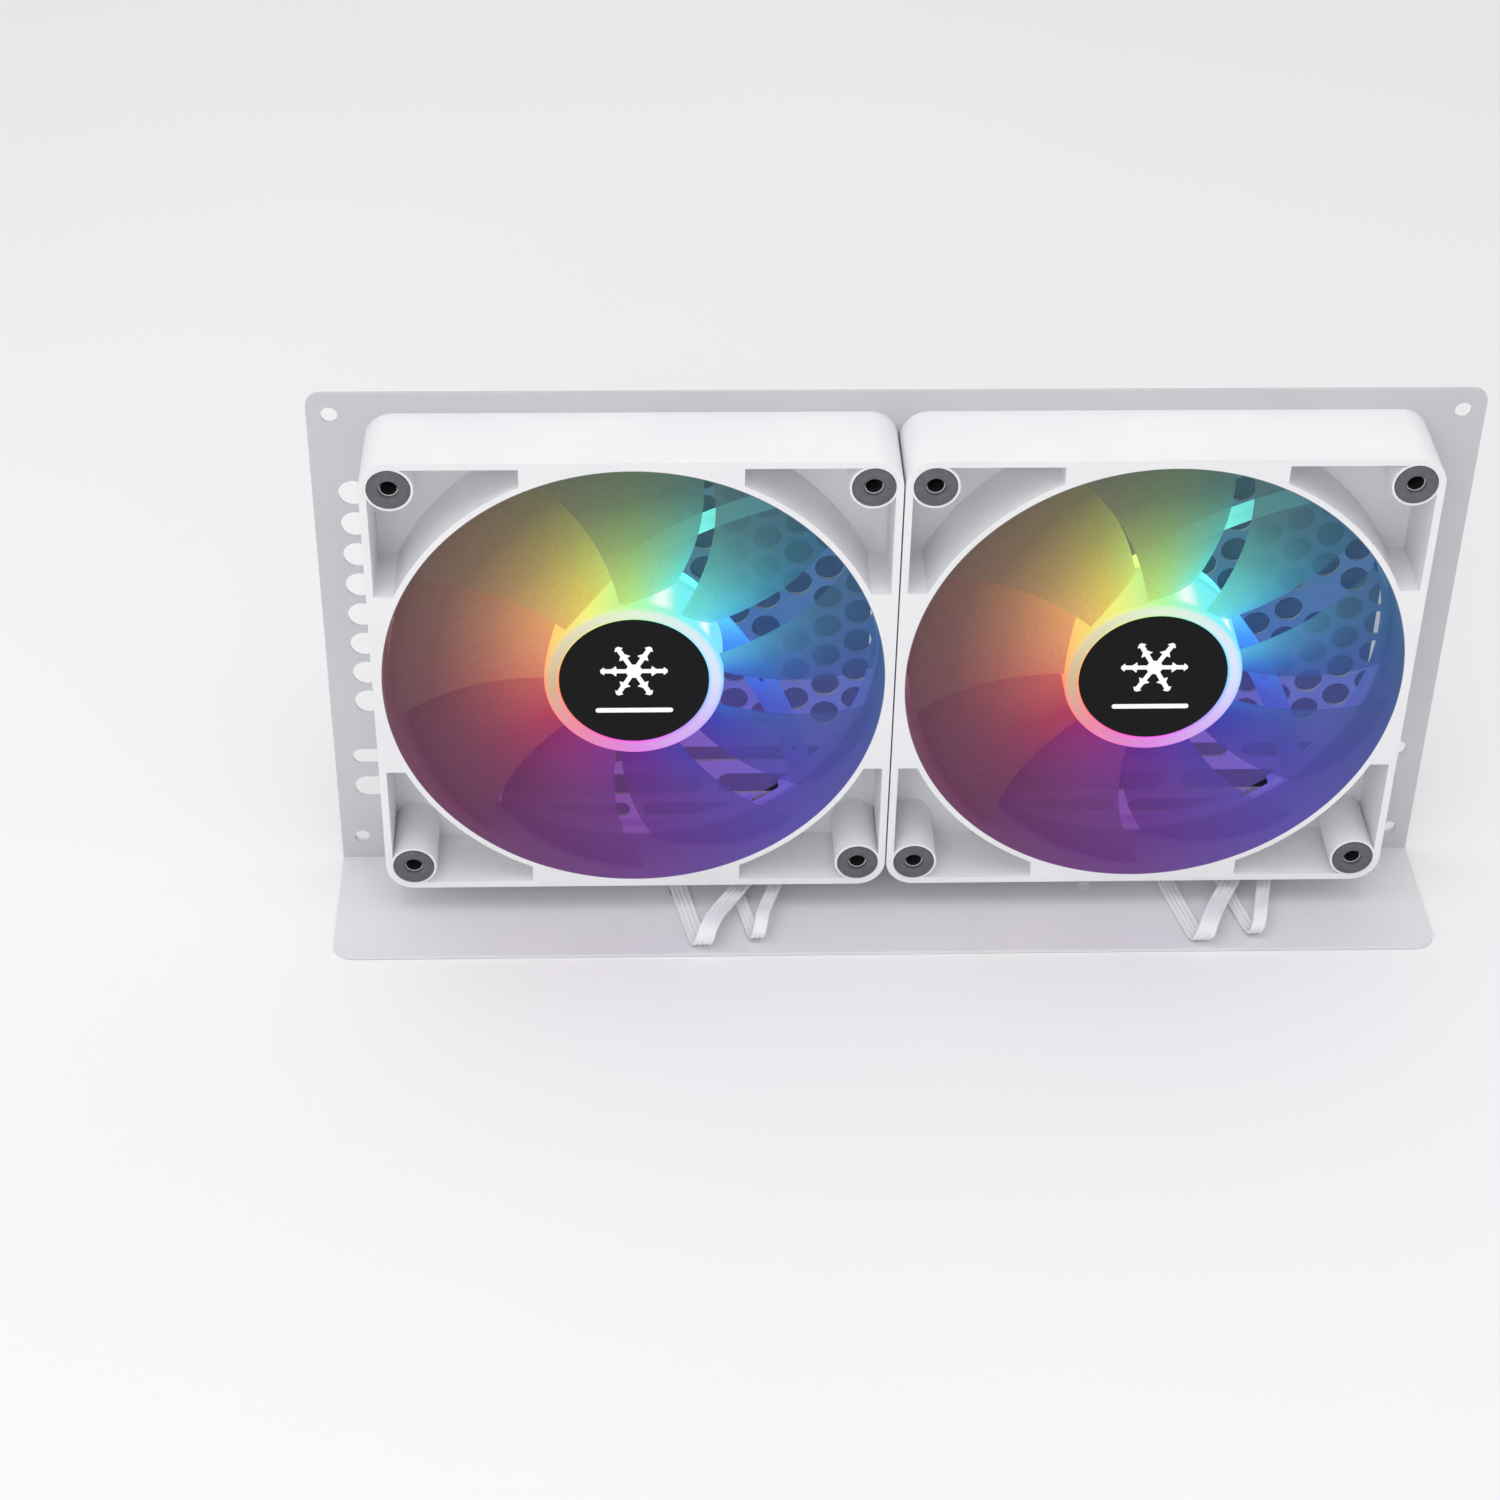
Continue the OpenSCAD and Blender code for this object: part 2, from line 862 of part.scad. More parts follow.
module light_lead(side) {
    lead(side, light_route, light_lead_w);
}

grille_panel();
foot_rail();
rail_rivets();

at_fan(LEFT) fan_frame();  // left_frame
at_fan(LEFT) corner_pads(fan_depth + front_pad_proud - pad_t);  // left_front_pads
at_fan(LEFT) corner_pads(0);  // left_rear_pads
at_fan(LEFT) fan_screws();  // left_screws
at_fan(LEFT) dust_filter();  // left_filter
at_fan(LEFT) rear_label();  // left_rear_label
at_fan(LEFT) bearing_sleeve();  // left_bearing_sleeve
at_fan(LEFT) thrust_cap();  // left_thrust_cap
at_fan(LEFT) motor_board();  // left_motor_board
at_fan(LEFT) light_board();  // left_light_board
at_fan(LEFT) leds();  // left_leds
at_fan(LEFT) stator_core();  // left_stator_core
at_fan(LEFT) insulators();  // left_insulators
at_fan(LEFT) windings();  // left_windings
at_fan(LEFT) impeller();  // left_impeller
at_fan(LEFT) hub_badge();  // left_hub_badge
at_fan(LEFT) rotor_yoke();  // left_rotor_yoke
at_fan(LEFT) magnet_ring();  // left_magnet_ring
at_fan(LEFT) rotor_shaft();  // left_shaft
at_fan(LEFT) lock_ring();  // left_lock_ring
motor_lead(LEFT);  // left_motor_lead
coil(LEFT, LEFT, motor_lead_w);  // left_motor_coil
plug(LEFT, LEFT, 4);  // left_motor_plug
light_lead(LEFT);  // left_light_lead
coil(LEFT, RIGHT, light_lead_w);  // left_light_coil
plug(LEFT, RIGHT, 3);  // left_light_plug

at_fan(RIGHT) fan_frame();  // right_frame
at_fan(RIGHT) corner_pads(fan_depth + front_pad_proud - pad_t);  // right_front_pads
at_fan(RIGHT) corner_pads(0);  // right_rear_pads
at_fan(RIGHT) fan_screws();  // right_screws
at_fan(RIGHT) dust_filter();  // right_filter
at_fan(RIGHT) rear_label();  // right_rear_label
at_fan(RIGHT) bearing_sleeve();  // right_bearing_sleeve
at_fan(RIGHT) thrust_cap();  // right_thrust_cap
at_fan(RIGHT) motor_board();  // right_motor_board
at_fan(RIGHT) light_board();  // right_light_board
at_fan(RIGHT) leds();  // right_leds
at_fan(RIGHT) stator_core();  // right_stator_core
at_fan(RIGHT) insulators();  // right_insulators
at_fan(RIGHT) windings();  // right_windings
at_fan(RIGHT) impeller();  // right_impeller
at_fan(RIGHT) hub_badge();  // right_hub_badge
at_fan(RIGHT) rotor_yoke();  // right_rotor_yoke
at_fan(RIGHT) magnet_ring();  // right_magnet_ring
at_fan(RIGHT) rotor_shaft();  // right_shaft
at_fan(RIGHT) lock_ring();  // right_lock_ring
motor_lead(RIGHT);  // right_motor_lead
coil(RIGHT, LEFT, motor_lead_w);  // right_motor_coil
plug(RIGHT, LEFT, 4);  // right_motor_plug
light_lead(RIGHT);  // right_light_lead
coil(RIGHT, RIGHT, light_lead_w);  // right_light_coil
plug(RIGHT, RIGHT, 3);  // right_light_plug
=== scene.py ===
import json
import math

import bmesh
import bpy
from mathutils import Matrix, Vector


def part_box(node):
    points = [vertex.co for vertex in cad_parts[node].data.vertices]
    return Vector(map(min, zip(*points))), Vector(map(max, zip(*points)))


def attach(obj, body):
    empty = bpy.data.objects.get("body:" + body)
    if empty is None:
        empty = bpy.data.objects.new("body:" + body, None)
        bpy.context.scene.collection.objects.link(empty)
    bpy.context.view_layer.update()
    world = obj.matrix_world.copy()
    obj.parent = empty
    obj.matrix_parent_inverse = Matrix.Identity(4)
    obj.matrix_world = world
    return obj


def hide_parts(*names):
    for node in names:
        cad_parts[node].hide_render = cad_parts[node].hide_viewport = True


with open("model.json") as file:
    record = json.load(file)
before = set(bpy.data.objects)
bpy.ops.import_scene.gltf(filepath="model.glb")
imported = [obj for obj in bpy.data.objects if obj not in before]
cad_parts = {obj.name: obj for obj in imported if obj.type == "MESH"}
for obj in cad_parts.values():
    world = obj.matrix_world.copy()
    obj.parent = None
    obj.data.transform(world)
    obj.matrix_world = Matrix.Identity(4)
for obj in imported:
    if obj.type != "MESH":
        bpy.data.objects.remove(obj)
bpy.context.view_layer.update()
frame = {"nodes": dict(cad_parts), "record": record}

# Twin lit fans on a perforated panel: X runs across both fans, Y from front to back, Z up, in metres.
MM = 0.001
SIDES = ("left", "right")
WALL_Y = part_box("grille_panel")[0].y
AXIS = {side: (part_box(side + "_frame")[0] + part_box(side + "_frame")[1]) / 2 for side in SIDES}
TO_RIGHT = AXIS["right"].x - AXIS["left"].x
# The screw holes' distance from the fan's axis, sideways and upwards, in millimetres
HOLE_AT = 62.25
# Turns a primitive that lies flat to face along Y
UPRIGHT = (math.pi / 2, 0, 0)


def fan_point(side, x, up, forward):
    """A point of one fan, from its axis and the back of its frame, in millimetres."""
    return Vector((AXIS[side].x + x * MM, WALL_Y - forward * MM, AXIS[side].z + up * MM))


# ---- Camera ----


def set_camera():
    bpy.ops.object.camera_add(
        location=(-0.0665, -0.6664, 0.5620),
        rotation=(math.radians(52.72), math.radians(-0.79), math.radians(-1.8)),
    )
    camera = bpy.context.object
    camera.name = "studio_camera"
    camera.data.lens = 73.1
    camera.data.sensor_width = 36
    bpy.context.scene.camera = camera


# ---- Working by hand ----


def put_down():
    """Object mode with nothing selected."""
    if bpy.context.object and bpy.context.object.mode != "OBJECT":
        bpy.ops.object.mode_set(mode="OBJECT")
    bpy.ops.object.select_all(action="DESELECT")


def pick_up(piece):
    put_down()
    piece.select_set(True)
    bpy.context.view_layer.objects.active = piece


def edit(piece):
    pick_up(piece)
    bpy.ops.object.mode_set(mode="EDIT")


def select_edges(test):
    """In edit mode, selects the edges whose two ends pass the test."""
    bpy.ops.mesh.select_mode(type="EDGE")
    bpy.ops.mesh.select_all(action="DESELECT")
    mesh = bmesh.from_edit_mesh(bpy.context.edit_object.data)
    for edge in mesh.edges:
        edge.select_set(bool(test(edge.verts[0].co, edge.verts[1].co)))
    bmesh.update_edit_mesh(bpy.context.edit_object.data)


def face_outwards():
    """In edit mode, turns every face outwards, and goes back to object mode."""
    bpy.ops.mesh.select_all(action="SELECT")
    bpy.ops.mesh.normals_make_consistent(inside=False)
    bpy.ops.object.mode_set(mode="OBJECT")


def new_piece(name, mesh):
    piece = bpy.data.objects.new(name, mesh)
    bpy.context.scene.collection.objects.link(piece)
    return piece


def settle(piece, name):
    """Names a piece and puts its place into its mesh, so that its object sits at the origin."""
    pick_up(piece)
    bpy.ops.object.transform_apply(location=True, rotation=True, scale=True)
    piece.name = name
    piece.data.name = name


def join(pieces, name):
    """Joins pieces into the first of them."""
    put_down()
    for piece in pieces:
        piece.select_set(True)
    bpy.context.view_layer.objects.active = pieces[0]
    bpy.ops.object.join()
    pieces[0].name = name
    pieces[0].data.name = name
    return pieces[0]


def apply_modifier(piece, kind, **settings):
    pick_up(piece)
    modifier = piece.modifiers.new(kind.lower(), kind)
    for key, value in settings.items():
        setattr(modifier, key, value)
    bpy.ops.object.modifier_apply(modifier=modifier.name)


def round_edges(piece, width, segments=2, angle=35):
    apply_modifier(
        piece,
        "BEVEL",
        width=width * MM,
        segments=segments,
        limit_method="ANGLE",
        angle_limit=math.radians(angle),
        harden_normals=False,
    )


def smooth(piece, angle=35):
    pick_up(piece)
    bpy.ops.object.shade_smooth_by_angle(angle=math.radians(angle))


def cad_copy(node, name):
    """A merged copy of a CAD node's mesh, to be finished further."""
    piece = new_piece(name, frame["nodes"][node].data.copy())
    piece.data.materials.clear()
    edit(piece)
    bpy.ops.mesh.select_all(action="SELECT")
    bpy.ops.mesh.remove_doubles(threshold=0.002 * MM)
    bpy.ops.mesh.dissolve_limited(angle_limit=math.radians(0.4))
    bpy.ops.object.mode_set(mode="OBJECT")
    bpy.ops.mesh.customdata_custom_splitnormals_clear()
    return piece


def turned(name, side, profile, closed=False, corners=96, off=(0, 0)):
    """A round piece along the fan's axis, or off it. Its profile is pairs of radius and distance forward, in
    millimetres. A closed profile is a ring's section, and an open one gets a flat cap at both ends."""
    radius, forward = profile[0]
    put_down()
    start = fan_point(side, *off, forward)
    bpy.ops.mesh.primitive_circle_add(vertices=corners, radius=radius * MM, location=start, rotation=UPRIGHT)
    piece = bpy.context.object
    settle(piece, name)
    edit(piece)
    bpy.ops.mesh.select_all(action="SELECT")
    for (r0, f0), (r1, f1) in zip(profile, profile[1:]):
        bpy.ops.mesh.extrude_region_move(TRANSFORM_OT_translate={"value": (0, (f0 - f1) * MM, 0)})
        centre = fan_point(side, *off, f1)
        bpy.ops.transform.resize(value=(r1 / r0, 1, r1 / r0), center_override=centre)
    bpy.ops.mesh.select_all(action="DESELECT")
    bpy.ops.mesh.select_non_manifold(extend=False)
    if closed:
        bpy.ops.mesh.bridge_edge_loops()
    else:
        bpy.ops.mesh.fill_holes(sides=0)
    face_outwards()
    return piece


def copy_to_right(piece, name):
    """The right fan's own copy of a piece made on the left fan."""
    copy = new_piece(name, piece.data.copy())
    copy.data.name = name
    edit(copy)
    bpy.ops.mesh.select_all(action="SELECT")
    bpy.ops.transform.translate(value=(TO_RIGHT, 0, 0))
    bpy.ops.object.mode_set(mode="OBJECT")
    return copy


def fit(piece, body, slot, material, *nodes):
    """Hands a finished piece over to its body, with its finish and the CAD nodes it stands for."""
    piece.data.materials.clear()
    piece.data.materials.append(material)
    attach(piece, body)
    if nodes:
        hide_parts(*nodes)


# ---- Finishes ----

# Radii in millimetres inside which the lamps' light is painted on the duct as glow, and a screw hole is
# painted dark as shade
PAINTED_GLOW_R = 67.5
PAINTED_HOLE_SHADE_R = 2.25
# Ramps read 0 to 1, so they get millimetres as a share of one of these
FAR = 100
NEAR = 25
# Front faces lie forward of these, from the frame's back: the panel's and the filter's
PANEL_FACE = -0.1
FILTER_FACE = -1.1
# The filter's threads: half the distance between two, and where a thread begins within that
MESH_HALF = 0.45
THREAD_FROM = 0.17


class Finish:
    """A material on one shader, with a few of the steps that every finish here uses."""

    def __init__(self, name, colour, roughness, metal=0.0, specular=0.5):
        self.material = bpy.data.materials.new(name)
        self.material.use_nodes = True
        self.tree = self.material.node_tree
        self.shader = self.tree.nodes["Principled BSDF"]
        self.shader.inputs["Base Color"].default_value = (*colour, 1)
        self.shader.inputs["Roughness"].default_value = roughness
        self.shader.inputs["Metallic"].default_value = metal
        self.shader.inputs["Specular IOR Level"].default_value = specular
        self.place = self.node("ShaderNodeTexCoord").outputs["Object"]
        self.normal = None

    def node(self, kind, **settings):
        made = self.tree.nodes.new(kind)
        for key, value in settings.items():
            setattr(made, key, value)
        return made

    def link(self, output, target):
        if isinstance(target, str):
            target = self.shader.inputs[target]
        self.tree.links.new(output, target)

    def calc(self, operation, a, b=None):
        made = self.node("ShaderNodeMath", operation=operation)
        for value, socket in ((a, made.inputs[0]), (b, made.inputs[1])):
            if isinstance(value, (int, float)):
                socket.default_value = value
            elif value is not None:
                self.link(value, socket)
        return made.outputs[0]

    def split(self, vector):
        """A vector's three numbers, as outputs named X, Y and Z."""
        made = self.node("ShaderNodeSeparateXYZ")
        self.link(vector, made.inputs["Vector"])
        return made.outputs

    def noise(self, scale, detail=4):
        """Noise with its cells about 1/scale of a metre across."""
        made = self.node("ShaderNodeTexNoise")
        made.inputs["Scale"].default_value = scale
        made.inputs["Detail"].default_value = detail
        self.link(self.place, made.inputs["Vector"])
        return made.outputs["Fac"]

    def ramp(self, factor, stops, smooth_steps=False):
        """Stops are (position, colour), or (position, value)."""
        made = self.node("ShaderNodeValToRGB")
        made.color_ramp.interpolation = "EASE" if smooth_steps else "LINEAR"
        marks = made.color_ramp.elements
        while len(marks) < len(stops):
            marks.new(0.5)
        for mark, (position, value) in zip(marks, stops):
            mark.position = position
            colour = value if isinstance(value, tuple) else (value, value, value)
            mark.color = (*colour, 1)
        self.link(factor, made.inputs["Fac"])
        return made.outputs["Color"]

    def vary(self, target, factor, low, high):
        """Lets one of the shader's inputs go from low to high with a noise."""
        self.link(self.ramp(factor, [(0.3, low), (0.7, high)]), target)

    def glow(self, colour, strength=1.0):
        self.link(colour, "Emission Color")
        self.shader.inputs["Emission Strength"].default_value = strength

    def mix(self, factor, a, b, blend="MIX"):
        """Mixes two colours. The node's factor is input 0, its colours are inputs 6 and 7."""
        made = self.node("ShaderNodeMix", data_type="RGBA", blend_type=blend)
        for value, socket in ((factor, made.inputs[0]), (a, made.inputs[6]), (b, made.inputs[7])):
            if isinstance(value, (int, float)):
                socket.default_value = value
            elif isinstance(value, tuple):
                socket.default_value = (*value, 1)
            else:
                self.link(value, socket)
        return made.outputs[2]

    def relief(self, height, depth, strength=1.0):
        """Bumps the surface by a height of so many millimetres, on top of earlier relief."""
        made = self.node("ShaderNodeBump")
        made.inputs["Strength"].default_value = strength
        made.inputs["Distance"].default_value = depth * MM
        self.link(height, made.inputs["Height"])
        if self.normal:
            self.link(self.normal, made.inputs["Normal"])
        self.normal = made.outputs["Normal"]
        self.link(self.normal, "Normal")

    def from_axis(self, side):
        """Object coordinates from a fan's axis and the back of its frame."""
        centred = self.node("ShaderNodeMapping")
        centred.inputs["Location"].default_value = (-AXIS[side].x, -WALL_Y, -AXIS[side].z)
        self.link(self.place, centred.inputs["Vector"])
        return self.split(centred.outputs["Vector"])

    def length(self, a, b):
        """The length of a line with these two components, in millimetres."""
        squares = self.calc("ADD", self.calc("MULTIPLY", a, a), self.calc("MULTIPLY", b, b))
        return self.calc("MULTIPLY", self.calc("SQRT", squares), 1 / MM)

    def around(self, side):
        """Turn about a fan's axis from 0 to 1, right being 0.5 and up 0.75, then the distances from the axis
        and forward from the frame's back, in millimetres."""
        at = self.from_axis(side)
        turn = self.calc("MULTIPLY", self.calc("ARCTAN2", at["Z"], at["X"]), 1 / math.tau)
        radius = self.length(at["X"], at["Z"])
        return self.calc("ADD", turn, 0.5), radius, self.calc("MULTIPLY", at["Y"], -1 / MM)

    def corner_distance(self, side):
        """Distance from the nearest screw hole's axis, in millimetres."""
        at = self.from_axis(side)
        x, z = (self.calc("SUBTRACT", self.calc("ABSOLUTE", at[name]), HOLE_AT * MM) for name in "XZ")
        return self.length(x, z)


# Painted glow in the lamps' colours round the fan: from the left (0) through the bottom (0.25), right (0.5)
# and top (0.75). On struts and blades near the hub, and out at the rim
PAINTED_HUB_GLOW = [
    (0.0, (0.68, 0.18, 0.12)),
    (0.083, (0.44, 0.035, 0.09)),
    (0.167, (0.26, 0.02, 0.2)),
    (0.25, (0.14, 0.022, 0.3)),
    (0.333, (0.05, 0.03, 0.37)),
    (0.417, (0.03, 0.06, 0.45)),
    (0.5, (0.04, 0.22, 0.7)),
    (0.61, (0.12, 0.72, 0.85)),
    (0.68, (0.16, 0.85, 0.7)),
    (0.75, (0.45, 0.84, 0.23)),
    (0.833, (0.76, 0.63, 0.12)),
    (0.917, (0.82, 0.38, 0.15)),
    (1.0, (0.68, 0.18, 0.12)),
]
PAINTED_RIM_GLOW = [
    (0.0, (0.13, 0.055, 0.07)),
    (0.12, (0.125, 0.033, 0.085)),
    (0.25, (0.12, 0.034, 0.2)),
    (0.36, (0.075, 0.055, 0.33)),
    (0.5, (0.03, 0.08, 0.21)),
    (0.6, (0.035, 0.11, 0.17)),
    (0.68, (0.055, 0.125, 0.14)),
    (0.75, (0.09, 0.135, 0.09)),
    (0.87, (0.135, 0.095, 0.068)),
    (1.0, (0.13, 0.055, 0.07)),
]
# Painted glow on the panel behind the blades
PAINTED_PANEL_GLOW = [
    (0.0, (0.2, 0.07, 0.09)),
    (0.15, (0.2, 0.05, 0.16)),
    (0.27, (0.2, 0.07, 0.36)),
    (0.37, (0.13, 0.1, 0.5)),
    (0.5, (0.05, 0.13, 0.36)),
    (0.6, (0.035, 0.13, 0.24)),
    (0.7, (0.06, 0.14, 0.17)),
    (0.8, (0.15, 0.13, 0.08)),
    (1.0, (0.2, 0.07, 0.09)),
]
# Painted glow on the hub's side wall and edges, and on its front face
PAINTED_RING_GLOW = [
    (0.0, (1.0, 0.28, 0.09)),
    (0.1, (0.95, 0.17, 0.2)),
    (0.2, (0.9, 0.08, 0.6)),
    (0.28, (0.82, 0.1, 0.85)),
    (0.36, (0.5, 0.25, 0.9)),
    (0.45, (0.3, 0.5, 1.0)),
    (0.55, (0.15, 0.75, 1.0)),
    (0.66, (0.1, 0.9, 0.9)),
    (0.75, (0.35, 0.9, 0.25)),
    (0.83, (0.85, 0.85, 0.12)),
    (0.92, (0.95, 0.6, 0.1)),
    (1.0, (1.0, 0.28, 0.09)),
]
PAINTED_RING_FACE_GLOW = [
    (0.0, (0.51, 0.4, 0.2)),
    (0.12, (0.72, 0.16, 0.26)),
    (0.25, (0.58, 0.16, 0.64)),
    (0.4, (0.6, 0.42, 0.85)),
    (0.5, (0.68, 0.68, 0.91)),
    (0.75, (0.72, 0.8, 0.65)),
    (1.0, (0.51, 0.4, 0.2)),
]


def white_moulding_painted_glow(side):
    """Matt white plastic, faintly mottled, with painted glow in the duct and painted shade there and in its
    screw holes.
    """
    finish = Finish(side + "_white_moulding_painted_glow", (0.86, 0.86, 0.88), 0.5)
    cloud = finish.noise(35, 3)
    white = finish.ramp(cloud, [(0.3, (0.82, 0.82, 0.845)), (0.7, (0.87, 0.87, 0.885))])
    finish.vary("Roughness", finish.noise(160, 5), 0.42, 0.56)
    finish.relief(finish.noise(2600, 2), 0.02, 0.5)
    finish.relief(cloud, 0.15, 0.15)
    turn, radius, forward = finish.around(side)
    share = finish.calc("MULTIPLY", radius, 1 / FAR)
    in_duct = finish.calc("LESS_THAN", radius, PAINTED_GLOW_R)
    # Painted glow: the hub's colours along the struts, the rim's further out, brighter deep in the duct
    strutward = finish.ramp(share, [(0.26, 1.3), (0.45, 0.6), (0.62, 0.28), (0.655, 0.0)])
    light = finish.mix(strutward, finish.ramp(turn, PAINTED_RIM_GLOW), finish.ramp(turn, PAINTED_HUB_GLOW))
    deep_glow = finish.ramp(finish.calc("MULTIPLY", forward, 1 / NEAR), [(0.16, 1.5), (0.24, 0.95)])
    light = finish.mix(1.0, light, deep_glow, "MULTIPLY")
    finish.glow(finish.mix(1.0, light, in_duct, "MULTIPLY"))
    # Painted shade: the base colour goes dark inside the duct and in the screw holes
    hole_painted_shade = finish.calc("LESS_THAN", finish.corner_distance(side), PAINTED_HOLE_SHADE_R)
    duct_painted_shade = finish.mix(in_duct, white, (0.05, 0.045, 0.055))
    finish.link(finish.mix(hole_painted_shade, duct_painted_shade, (0.03, 0.03, 0.035)), "Base Color")
    return finish.material


def painted_glow_blades(side):
    """Frosted smoky plastic with a painted glow in the lamps' colours, out to the blade tips."""
    finish = Finish(side + "_painted_glow_blades", (0.02, 0.018, 0.02), 0.45, specular=0.12)
    turn, radius, _ = finish.around(side)
    share = finish.calc("MULTIPLY", radius, 1 / FAR)
    # Painted glow: the hub's colours near the hub, the rim's further out
    near_hub = finish.ramp(share, [(0.24, 1.0), (0.3, 0.8), (0.42, 0.36), (0.54, 0.08), (0.66, 0.0)])
    light = finish.mix(near_hub, finish.ramp(turn, PAINTED_RIM_GLOW), finish.ramp(turn, PAINTED_HUB_GLOW))
    grain = finish.ramp(finish.noise(900, 3), [(0.3, 0.9), (0.7, 1.0)])
    finish.glow(finish.mix(1.0, light, grain, "MULTIPLY"))
    solid = finish.ramp(
        turn,
        [
            (0.0, 0.95), (0.12, 0.82), (0.22, 0.5), (0.38, 0.38),
            (0.5, 0.3), (0.62, 0.36), (0.7, 0.66), (0.77, 0.93),
        ],
    )
    finish.link(finish.mix(near_hub, solid, (0.96, 0.96, 0.96)), "Alpha")
    finish.relief(finish.noise(1400, 2), 0.02, 0.4)
    return finish.material


def painted_glow_hub(side):
    """Frosted white plastic with a painted glow of the lamps behind it: pale on its face, in full colour at
    both edges.
    """
    finish = Finish(side + "_painted_glow_hub", (0.1, 0.1, 0.1), 0.35, specular=0.4)
    turn, radius, forward = finish.around(side)
    share = finish.calc("MULTIPLY", radius, 1 / NEAR)
    # Painted glow: pale on the face, full colour at the edges, and two painted bright spots on the side wall
    pale = finish.ramp(share, [(0.815, 0.0), (0.845, 0.9), (0.92, 0.8), (0.955, 0.1)])
    colour = finish.mix(pale, finish.ramp(turn, PAINTED_RING_GLOW), finish.ramp(turn, PAINTED_RING_FACE_GLOW))
    two_spots = [(0.585, 0.0), (0.605, 0.9), (0.63, 0.0), (0.67, 0.0), (0.7, 0.8), (0.73, 0.0)]
    spots = finish.ramp(turn, two_spots, smooth_steps=True)
    height = finish.calc("MULTIPLY", forward, 1 / NEAR)
    side_wall = finish.ramp(height, [(0.3, 0.0), (0.5, 1.0), (0.8, 1.0), (0.9, 0.0)])
    colour = finish.mix(finish.mix(1.0, spots, side_wall, "MULTIPLY"), colour, (0.95, 0.95, 0.95))
    finish.glow(colour, 0.95)
    finish.relief(finish.noise(1400, 2), 0.02, 0.4)
    return finish.material


def panel_coat_painted_glow_and_shade(name, light, dark):
    """Satin powder coat with its fine orange peel, and painted glow and painted shade where a fan faces it.
    """
    finish = Finish(name, light, 0.4)
    white = finish.ramp(finish.noise(18, 4), [(0.3, dark), (0.7, light)])
    finish.vary("Roughness", finish.noise(220, 5), 0.34, 0.5)
    finish.relief(finish.noise(1100, 2), 0.05, 0.45)
    painted_light_masks, painted_glows = [], []
    for side in SIDES:
        turn, radius, forward = finish.around(side)
        in_duct = finish.calc("LESS_THAN", radius, PAINTED_GLOW_R)
        front = finish.calc("GREATER_THAN", forward, PANEL_FACE)
        painted_light_masks.append(finish.calc("MULTIPLY", in_duct, front))
        painted_glows.append(finish.mix(1.0, finish.ramp(turn, PAINTED_PANEL_GLOW), painted_light_masks[-1], "MULTIPLY"))
    # Painted glow of both fans, and painted shade: the base colour darkened where a fan faces the panel
    finish.glow(finish.mix(1.0, painted_glows[0], painted_glows[1], "ADD"))
    finish.link(finish.mix(finish.calc("ADD", *painted_light_masks), white, (0.06, 0.06, 0.08)), "Base Color")
    return finish.material


def filter_mesh(side):
    """Fine dark mesh, its threads 0.9 mm apart, with a painted glow in the lamps' colours on its front."""
    finish = Finish(side + "_filter_mesh", (0.03, 0.03, 0.034), 0.6)
    turn, radius, forward = finish.around(side)
    in_duct = finish.calc("LESS_THAN", radius, PAINTED_GLOW_R)
    front = finish.calc("GREATER_THAN", forward, FILTER_FACE)
    lit = finish.calc("MULTIPLY", in_duct, front)
    # Painted glow on the mesh's front inside the duct
    finish.glow(finish.mix(1.0, finish.ramp(turn, PAINTED_PANEL_GLOW), lit, "MULTIPLY"), 0.5)
    at = finish.split(finish.place)
    threads = []
    for axis in ("X", "Z"):
        wave = finish.calc("PINGPONG", at[axis], MESH_HALF * MM)
        threads.append(finish.calc("GREATER_THAN", wave, THREAD_FROM * MM))
    woven = finish.calc("MAXIMUM", threads[0], threads[1])
    finish.link(finish.calc("MAXIMUM", woven, 0.25), "Alpha")
    shade = finish.ramp(finish.noise(300, 3), [(0.3, (0.025, 0.025, 0.03)), (0.7, (0.045, 0.045, 0.05))])
    finish.link(shade, "Base Color")
    return finish.material


def damper_rubber():
    """Dark grey rubber with a dusty bloom."""
    finish = Finish("damper_rubber", (0.12, 0.118, 0.135), 0.6, specular=0.35)
    bloom = finish.noise(420, 6)
    finish.link(finish.ramp(bloom, [(0.3, (0.1, 0.098, 0.112)), (0.75, (0.14, 0.138, 0.155))]), "Base Color")
    finish.vary("Roughness", bloom, 0.52, 0.72)
    finish.relief(finish.noise(2200, 3), 0.03, 0.5)
    return finish.material


def badge_gloss():
    """Polished black plastic."""
    finish = Finish("badge_gloss", (0.002, 0.002, 0.003), 0.12, specular=0.16)
    finish.link(finish.ramp(finish.noise(60, 5), [(0.35, 0.09), (0.7, 0.17)]), "Roughness")
    return finish.material


def pad_print_painted_glow():
    """White pad printing, a little uneven, with a faint painted glow."""
    finish = Finish("pad_print_painted_glow", (0.9, 0.9, 0.9), 0.4)
    finish.vary("Base Color", finish.noise(900, 3), (0.86, 0.86, 0.86), (0.93, 0.93, 0.93))
    # A faint painted glow
    finish.shader.inputs["Emission Strength"].default_value = 0.15
    finish.shader.inputs["Emission Color"].default_value = (1, 1, 1, 1)
    return finish.material


def plain_metal(name, colour, dark, roughness, grain=700, depth=0.01):
    """Metal with a fine drawn or blasted grain."""
    finish = Finish(name, colour, roughness, metal=1.0)
    fine = finish.noise(grain, 5)
    finish.vary("Base Color", fine, dark, colour)
    finish.vary("Roughness", fine, roughness - 0.08, roughness + 0.1)
    finish.relief(fine, depth, 0.5)
    return finish.material


